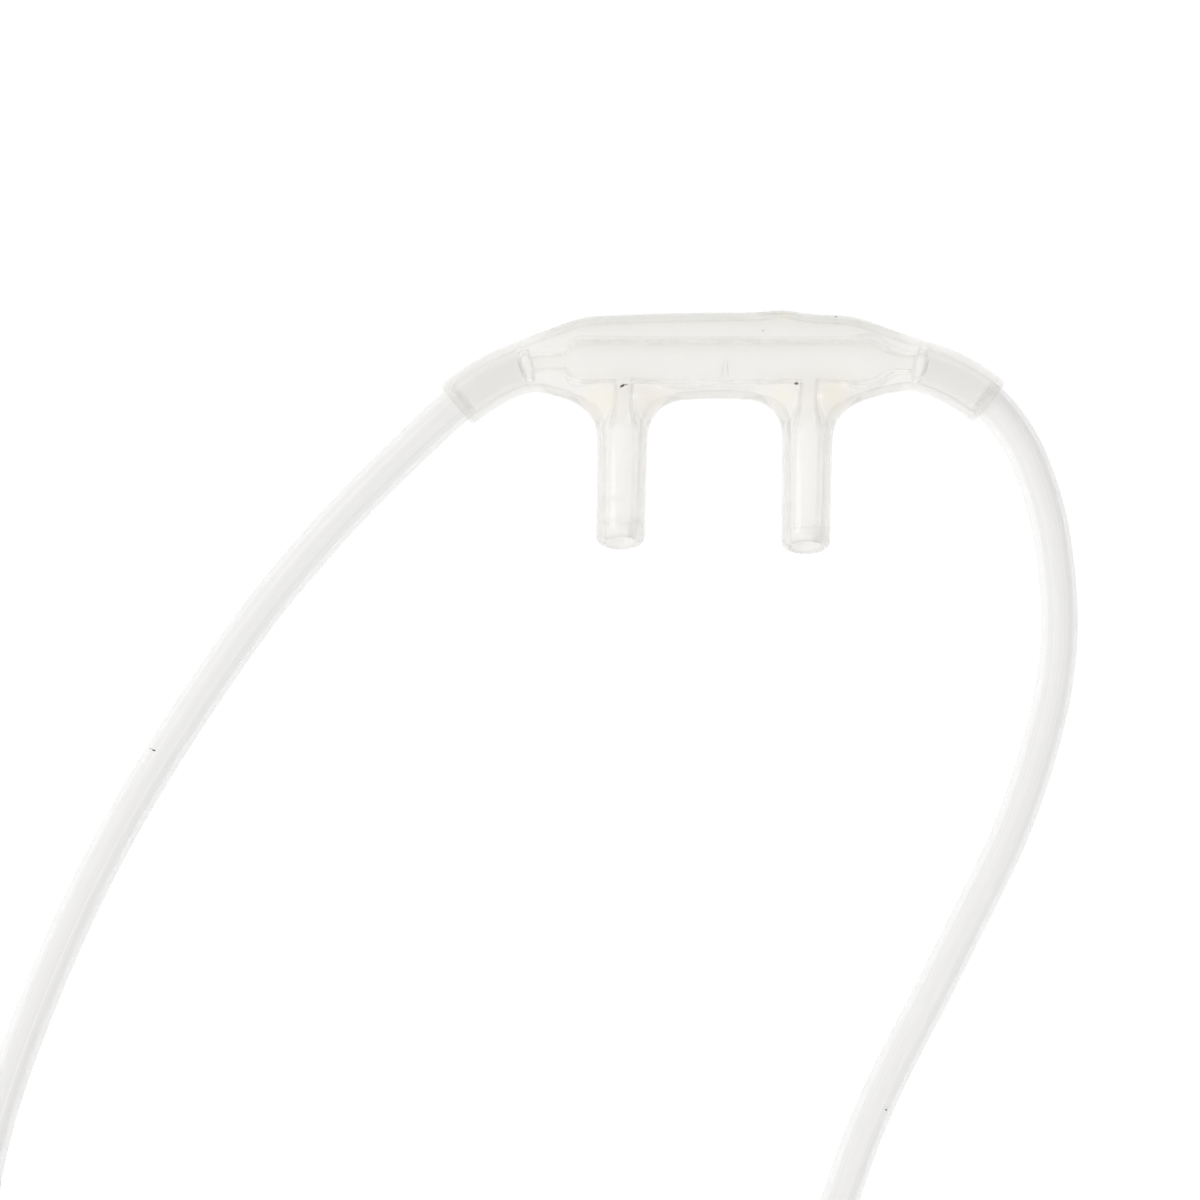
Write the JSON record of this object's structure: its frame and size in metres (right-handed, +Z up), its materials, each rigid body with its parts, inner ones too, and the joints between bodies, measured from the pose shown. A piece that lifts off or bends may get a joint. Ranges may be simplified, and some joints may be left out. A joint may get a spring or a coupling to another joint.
{
  "type": "nasal oxygen cannula",
  "caption": "Soft clear nasal oxygen cannula: a moulded facepiece with curved nose prongs, thin side tubes wound into a coil, a slider and a Y connector.",
  "frame": {"origin": "the table, under the middle of the facepiece's flat underside", "axes": "+X along the facepiece, -Y the way the prongs point, +Z up from the table"},
  "size_m": [0.1005, 0.1328, 0.0125],
  "materials": {
    "moulded_vinyl": "translucent soft vinyl, satin to glossy",
    "tube_vinyl": "translucent soft vinyl, glossy",
    "fitting_plastic": "translucent moulded vinyl, satin"
  },
  "bodies": {
    "cannula": {"nasal_facepiece": "moulded_vinyl", "left_tube": "tube_vinyl", "right_tube": "tube_vinyl", "tube_coil": "tube_vinyl", "left_tube_end": "tube_vinyl", "right_tube_end": "tube_vinyl", "y_connector": "fitting_plastic"},
    "slider": {"slider": "fitting_plastic"}
  },
  "joints": [
    {"name": "slider_slide", "type": "slide", "parent": "cannula", "child": "slider", "axis": [1, 0, 0], "range_m": [-0.0065, 0.0065]}
  ]
}
